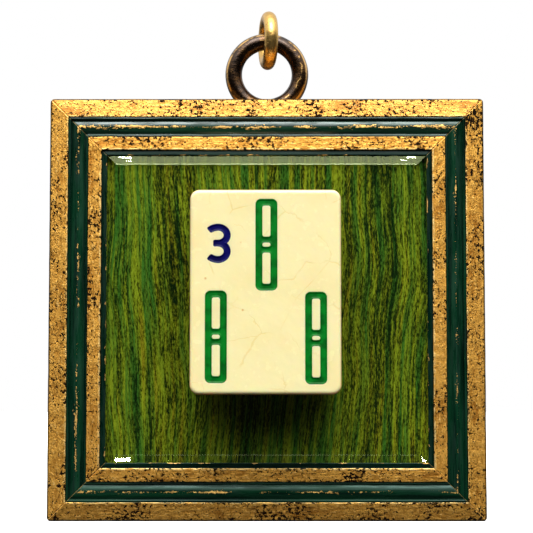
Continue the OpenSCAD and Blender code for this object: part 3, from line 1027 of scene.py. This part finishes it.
def tile_mesh(sizes):
    """The tile: a carved face, rounded edges all round and a flat back."""
    wide, high = TILE_HIGH[0] - TILE_LOW[0], TILE_HIGH[2] - TILE_LOW[2]
    thick = TILE_HIGH[1] - TILE_LOW[1]
    mid_x, mid_z = tile_middle()
    inset = sizes.edge_r

    def outline(x, z):
        """Signed distance to the flat of the face, inside its softened edge."""
        return box_field(x, z, wide - 2 * inset, high - 2 * inset, sizes.corner_r - inset)

    half = (wide / 2 - inset, high / 2 - inset)
    x, z, faces = patch(outline, (-half[0], -half[1]), half, sizes.pitch)
    deep = np.zeros(len(x))
    for _, (low, top), field in carvings(sizes):
        near = (x > low[0] - inset) & (x < top[0] + inset) & (z > low[1] - inset) & (z < top[1] + inset)
        off = field(x[near], z[near])
        at_line = np.abs(off) < sizes.pitch / 2
        picked = np.nonzero(near)[0][at_line]
        x[picked], z[picked] = drawn_to_line(field, x[picked], z[picked])
        deep[near] = np.maximum(deep[near], carved(-field(x[near], z[near]), sizes))
    work = bmesh.new()
    verts = [work.verts.new(p) for p in zip(x, deep, z)]
    for face in faces:
        work.faces.new([verts[n] for n in face])
    rim = [e for e in work.edges if e.is_boundary]
    turns = [math.pi / 2 * k / TILE_ROUND_PARTS for k in range(1, TILE_ROUND_PARTS + 1)]
    rounds = [(inset * math.sin(a), inset * (1 - math.cos(a))) for a in turns]
    rings = rounds + [(out, thick - down) for out, down in rounds[::-1]] + [(0.0, thick)]
    for out, down in rings:
        grown = bmesh.ops.extrude_edge_only(work, edges=rim)["geom"]
        rim = [g for g in grown if isinstance(g, bmesh.types.BMEdge)]
        for vert in (g for g in grown if isinstance(g, bmesh.types.BMVert)):
            px, pz = np.array([vert.co.x]), np.array([vert.co.z])
            dx, dz = slope_of(outline, px, pz)
            px, pz = drawn_to_line(outline, px, pz)
            vert.co = (px[0] + dx[0] * out, down, pz[0] + dz[0] * out)
    bmesh.ops.holes_fill(work, edges=rim, sides=0)
    bmesh.ops.recalc_face_normals(work, faces=work.faces)
    bmesh.ops.translate(work, verts=work.verts, vec=(mid_x, TILE_LOW[1], mid_z))
    mesh = bpy.data.meshes.new("carved_tile")
    work.to_mesh(mesh)
    work.free()
    mesh.polygons.foreach_set("use_smooth", [True] * len(mesh.polygons))
    return mesh


def paint_mesh(name, box, field, sizes):
    """Paint in a carved line: a film that follows the carving, thickest on its floor."""
    mid_x, mid_z = tile_middle()
    x, z, faces = patch(field, *box, sizes.pitch * PAINT_PITCH)
    inside = np.maximum(0.0, -field(x, z))
    floor = carved(inside, sizes) + PAINT_SINK
    film = PAINT_RIM + sizes.film_t * smooth(inside / sizes.carve_wall)
    count = len(x)
    points = list(zip(x, floor - film, z)) + list(zip(x, floor, z))
    edges = dict.fromkeys((a, b) for face in faces for a, b in zip(face, face[1:] + face[:1]))
    skirt = [(b, a, a + count, b + count) for a, b in edges if (b, a) not in edges]
    under = [tuple(n + count for n in face[::-1]) for face in faces]
    mesh = mesh_of(name, points, faces + skirt + under)
    mesh.polygons.foreach_set("use_smooth", [k < len(faces) for k in range(len(mesh.polygons))])
    mesh.transform(shifted(mid_x, TILE_LOW[1], mid_z))
    return mesh


def ring_points(major, wire, turns, sides, dent):
    """Points of a ring about Y, with shallow dents in its wire."""
    points = []
    for turn in turns:
        for side in range(sides):
            lean = 2 * math.pi * side / sides
            spot = Vector((math.cos(turn), math.sin(turn), 0)) * DENT_SCALE + Vector((0, 0, lean))
            thick = wire - dent * (0.5 + 0.5 * noise.noise(spot))
            reach = major + thick * math.cos(lean)
            points.append((reach * math.cos(turn), thick * math.sin(lean), reach * math.sin(turn)))
    return points


def turned_rod(profile, sides):
    """Points and faces of a rod about Z, turned from (radius, height) and closed by flat ends."""
    turns = [2 * math.pi * k / sides for k in range(sides)]
    points = [(r * math.cos(a), r * math.sin(a), z) for r, z in profile for a in turns]
    return points, loft_faces(len(profile), sides, False)


# Operators


class FRAMED_TILE_OT_rails(Operator):
    """Sweep the four mitred rails, gild their flats and lacquer the rest"""

    bl_idname = "framed_tile.rails"
    bl_label = "Gilded rails"

    def execute(self, context):
        sizes, tints = context.scene.moulding_sizes, context.scene.finish_colours
        section, runs, bands = rail_section(sizes)
        marks = {name: run / MM for name, run in bands.items()}
        finishes = [gilding(tints, marks), bare_wood("rail_wood", tints.wood, layer="moulding")]
        for side in SIDES:
            mesh = rail_mesh(side, section, runs, bands, sizes)
            add_piece("gilded_rail_" + side, mesh, finishes, "frame", ["rail_" + side])
        return {"FINISHED"}


class FRAMED_TILE_OT_glass(Operator):
    """Make the bevelled glass, with its arrises softened"""

    bl_idname = "framed_tile.glass"
    bl_label = "Bevelled glass"

    def execute(self, context):
        sizes = context.scene.moulding_sizes
        bevel_w = sizes.bevel_show_w + RAIL_W - (GLASS_LOW[0] + FRAME_W / 2)
        face_y = GLASS_LOW[1]
        back_y = GLASS_HIGH[1] - GLASS_GAP
        bevel_y = face_y + sizes.facet_h
        flat_w = bevel_w - sizes.facet_w
        edge_y = bevel_y + flat_w * bevel_slope(sizes)
        loops = [(0.0, back_y), (0.0, edge_y), (flat_w, bevel_y), (bevel_w, face_y)]
        points = []
        for inset, y in loops:
            right, low, high = GLASS_HIGH[0] - inset, GLASS_LOW[2] + inset, GLASS_HIGH[2] - inset
            points += [(-right, y, low), (right, y, low), (right, y, high), (-right, y, high)]
        mesh = mesh_of("bevelled_glass", points, loft_faces(len(loops), 4, False))
        finish = clear_glass(context.scene.finish_colours)
        piece = add_piece(
            "clear_bevelled_glass", mesh, [finish], "frame", ["bevelled_glass"]
        )
        soft = piece.modifiers.new("soft_arrises", "BEVEL")
        soft.width = ARRIS_W
        soft.segments = ARRIS_PARTS
        soft.limit_method = "ANGLE"
        soft.angle_limit = ARRIS_TURN
        soft.harden_normals = True
        return {"FINISHED"}


class FRAMED_TILE_OT_stack(Operator):
    """Finish the panel behind the glass, and the board, points and wedges at the back"""

    bl_idname = "framed_tile.stack"
    bl_label = "Panel and back"

    def execute(self, context):
        tints = context.scene.finish_colours
        steel = stamped_steel(tints)
        finishes = {
            "grained_panel": stained_grain(tints),
            "backing_board": bare_wood("fibreboard", tints.board, 0.7),
            "glazier_points": steel,
            "corner_wedges": steel,
            "tile_adhesive": clear_pad(tints),
        }
        for node, finish in finishes.items():
            piece = frame["nodes"][node]
            piece.data.materials.clear()
            piece.data.materials.append(finish)
        return {"FINISHED"}


class FRAMED_TILE_OT_tile(Operator):
    """Make the cream tile with its carved sticks and numeral"""

    bl_idname = "framed_tile.tile"
    bl_label = "Carved tile"

    def execute(self, context):
        finish = crazed_cream(context.scene.finish_colours)
        mesh = tile_mesh(context.scene.tile_sizes)
        add_piece("carved_tile", mesh, [finish], "frame", ["tile_body"])
        return {"FINISHED"}


class FRAMED_TILE_OT_paint(Operator):
    """Lay the paint in the carved sticks and numeral"""

    bl_idname = "framed_tile.paint"
    bl_label = "Paint in the carving"

    def execute(self, context):
        sizes, tints = context.scene.tile_sizes, context.scene.finish_colours
        green = carved_paint("stick_paint", tints.stick)
        navy = carved_paint("numeral_paint", tints.numeral)
        for name, box, field in carvings(sizes):
            stick = name in STICKS
            mesh = paint_mesh(name, box, field, sizes)
            add_piece(
                "paint_" + name,
                mesh,
                [green if stick else navy],
                "frame",
                ["bamboo_" + name] if stick else [],
            )
        return {"FINISHED"}


class FRAMED_TILE_OT_screw_eye(Operator):
    """Make the screw eye: its ring and the shank in the top rail"""

    bl_idname = "framed_tile.screw_eye"
    bl_label = "Screw eye"

    def execute(self, context):
        rings = context.scene.ring_sizes
        wire = (EYE_HIGH[1] - EYE_LOW[1]) / 2
        major = (EYE_HIGH[0] - EYE_LOW[0]) / 2 - wire
        middle = (0.0, 0.0, EYE_HIGH[2] - major - wire)
        turns = [2 * math.pi * k / EYE_TURNS for k in range(EYE_TURNS)]
        points = ring_points(major, wire, turns, EYE_SIDES, rings.dent)
        faces = loft_faces(EYE_TURNS, EYE_SIDES, True)
        tip = EYE_LOW[2] - middle[2]
        shank_r = rings.shank_d / 2
        shank = [(rings.point_d / 2, tip), (shank_r, tip + rings.point_h), (shank_r, -major)]
        rod, rod_faces = turned_rod(shank, EYE_SIDES)
        faces += [tuple(n + len(points) for n in face) for face in rod_faces]
        mesh = mesh_of("screw_eye", points + rod, faces)
        mesh.transform(shifted(*middle))
        finish = antique_brass(context.scene.finish_colours, middle, (major, wire))
        add_piece("antiqued_screw_eye", mesh, [finish], "frame", ["screw_eye"])
        return {"FINISHED"}


class FRAMED_TILE_OT_jump_ring(Operator):
    """Make the jump ring, with the butt joint where it was closed"""

    bl_idname = "framed_tile.jump_ring"
    bl_label = "Jump ring"

    def execute(self, context):
        axis = Vector(HINGE["axis"]).normalized()
        middle = (Vector(JUMP_LOW) + Vector(JUMP_HIGH)) / 2
        outer = (JUMP_HIGH[2] - JUMP_LOW[2]) / 2
        rings = context.scene.ring_sizes
        wire = rings.jump_wire_d / 2
        gap = rings.butt_gap / (outer - wire)
        start = -math.pi / 2 + gap / 2
        turns = np.linspace(start, start + 2 * math.pi - gap, JUMP_TURNS)
        points = ring_points(outer - wire, wire, turns, JUMP_SIDES, rings.dent)
        mesh = mesh_of("jump_ring", points, loft_faces(JUMP_TURNS, JUMP_SIDES, False))
        flatten_ends(mesh)
        spin = Vector((0, 1, 0)).rotation_difference(axis).to_matrix().to_4x4()
        mesh.transform(shifted(*middle) @ spin)
        finish = polished_brass(context.scene.finish_colours)
        add_piece("polished_jump_ring", mesh, [finish], "jump_ring", ["jump_ring"])
        return {"FINISHED"}


class FRAMED_TILE_OT_stage(Operator):
    """Set the camera, the soft light and the pale floor"""

    bl_idname = "framed_tile.stage"
    bl_label = "Stage"

    def execute(self, context):
        self.set_camera(context)
        self.set_world(context)
        self.set_lamps(context)
        self.set_glints(context)
        self.set_floor(context)
        context.scene.view_settings.view_transform = "Standard"
        return {"FINISHED"}

    def set_camera(self, context):
        """The photograph's camera, set by its distance, its elevation and its focal length."""
        stage = context.scene.stage_settings
        aim = Vector((stage.aim_x, FRONT_Y, stage.aim_z))
        rise, turn = stage.camera_rise, stage.camera_turn
        back = Vector(
            (math.sin(turn) * math.cos(rise), -math.cos(turn) * math.cos(rise), math.sin(rise))
        )
        data = bpy.data.cameras.new("photo_camera")
        data.sensor_width = SENSOR_W
        data.lens = stage.focal_px * SENSOR_W / PHOTO_SIDE
        data.clip_start = CLIP_START
        camera = bpy.data.objects.new("photo_camera", data)
        camera.location = aim + back * stage.camera_away
        camera.rotation_euler = (-back).to_track_quat("-Z", "Y").to_euler()
        context.scene.collection.objects.link(camera)
        context.scene.camera = camera

    def set_world(self, context):
        """White to the camera; else a bright sky in front, a soft glow behind and little from below."""
        world = bpy.data.worlds.new("soft_studio")
        world.use_nodes = True
        context.scene.world = world
        background = world.node_tree.nodes["Background"]
        start = Wire(background.outputs[0])
        way = start.node("TexCoord", out="Generated")
        height = way.part("Z")
        front = way.part("Y").step(0.3, -0.2)
        narrow = 1 - abs(way.part("X")).step(0.2, 0.75) * 0.75
        glow = height.step(0.22, 0.6) * (1 - height.step(0.85, 0.99) * 0.5) * 4.5 * front * narrow
        glow = glow + height.step(-0.3, 0.5) * (1 - front) * 0.9
        glow = glow + abs(way.part("X")).step(0.35, 0.7) * height.step(0.1, 0.4) * 0.25
        glow = glow + height.step(-0.05, -0.4) * 0.04 + 0.01
        seen = start.node("LightPath", out="Is Camera Ray")
        plug(background, {"Color": (1.0, 1.0, 1.0), "Strength": seen.either(glow)})

    def add_lamp(self, context, name, place, way, size, power):
        """Adds a lamp that shines a given way and that the camera doesn't see."""
        data = bpy.data.lights.new(name, "AREA")
        data.shape = "RECTANGLE"
        data.size, data.size_y = size
        data.energy = power
        lamp = bpy.data.objects.new(name, data)
        lamp.location = place
        lamp.rotation_euler = way.to_track_quat("-Z", "Y").to_euler()
        lamp.visible_camera = False
        context.scene.collection.objects.link(lamp)

    def set_lamps(self, context):
        """One soft lamp overhead, in front of the frame."""
        stage = context.scene.stage_settings
        place = Vector(stage.lamp_place)
        way = Vector((0, 0, FRAME_H / 2)) - place
        self.add_lamp(context, "overhead", place, way, (stage.lamp_w, stage.lamp_d), stage.lamp_power)

    def set_glints(self, context):
        """Small lamps that are seen mirrored at given places of the glass bevel."""
        stage = context.scene.stage_settings
        away = stage.glint_away
        lean = math.atan(bevel_slope(context.scene.moulding_sizes))
        eye = context.scene.camera.location
        for name, (place, (wide, high)) in GLINTS.items():
            up = 1 if place[1] * MM > FRAME_H / 2 else -1
            seen = Vector((place[0] * MM, GLASS_LOW[1], place[1] * MM))
            facing = Vector((0.0, -math.cos(lean), up * math.sin(lean)))
            sight = seen - eye
            mirrored = sight.normalized().reflect(facing)
            grown = (sight.length + away) / sight.length * MM
            size = (wide * grown, high * grown)
            power = stage.glint_glow * math.pi * size[0] * size[1]
            self.add_lamp(context, "glint_" + name, seen + mirrored * away, -mirrored, size, power)

    def set_floor(self, context):
        """A pale floor that the camera sees and that neither lights nor shades the frame."""
        tints = context.scene.finish_colours
        reach = 3.0
        corners = [(-reach, -reach, 0), (reach, -reach, 0), (reach, reach, 0), (-reach, reach, 0)]
        mesh = mesh_of("pale_floor", corners, [(0, 1, 2, 3)])
        material, shader, place = new_finish("pale_floor")
        plug(
            shader,
            {
                "Base Color": place.noise(0.02).blend(tints.floor, tints.floor_light),
                "Roughness": 0.9,
                "Emission Color": (1.0, 1.0, 1.0),
                "Emission Strength": 0.45,
            },
        )
        mesh.materials.append(material)
        floor = bpy.data.objects.new("pale_floor", mesh)
        floor.visible_diffuse = floor.visible_glossy = False
        floor.visible_transmission = floor.visible_shadow = False
        context.scene.collection.objects.link(floor)


class FRAMED_TILE_PT_panel(Panel):
    """Lists the steps that dress the framed tile"""

    bl_label = "Framed tile"
    bl_space_type = "VIEW_3D"
    bl_region_type = "UI"
    bl_category = "Framed Tile"

    def draw(self, context):
        for step in STEPS:
            self.layout.operator(step.bl_idname)


GROUPS = {
    "moulding_sizes": MouldingSizes,
    "tile_sizes": TileSizes,
    "ring_sizes": RingSizes,
    "finish_colours": FinishColours,
    "stage_settings": StageSettings,
}
STEPS = (
    FRAMED_TILE_OT_stage,
    FRAMED_TILE_OT_rails,
    FRAMED_TILE_OT_glass,
    FRAMED_TILE_OT_stack,
    FRAMED_TILE_OT_tile,
    FRAMED_TILE_OT_paint,
    FRAMED_TILE_OT_screw_eye,
    FRAMED_TILE_OT_jump_ring,
)


def register():
    """Registers the classes and hangs the property groups on the scene."""
    for kind in (*GROUPS.values(), *STEPS, FRAMED_TILE_PT_panel):
        bpy.utils.register_class(kind)
    for name, group in GROUPS.items():
        setattr(bpy.types.Scene, name, PointerProperty(type=group))


def unregister():
    """Takes the property groups off the scene and unregisters the classes."""
    for name in GROUPS:
        delattr(bpy.types.Scene, name)
    for kind in (FRAMED_TILE_PT_panel, *reversed(STEPS), *GROUPS.values()):
        bpy.utils.unregister_class(kind)


def main():
    """Dresses the model step by step."""
    register()
    bpy.ops.framed_tile.stage()
    bpy.ops.framed_tile.rails()
    bpy.ops.framed_tile.glass()
    bpy.ops.framed_tile.stack()
    bpy.ops.framed_tile.tile()
    bpy.ops.framed_tile.paint()
    bpy.ops.framed_tile.screw_eye()
    bpy.ops.framed_tile.jump_ring()
    bpy.context.view_layer.update()


if __name__ == "__main__":
    main()
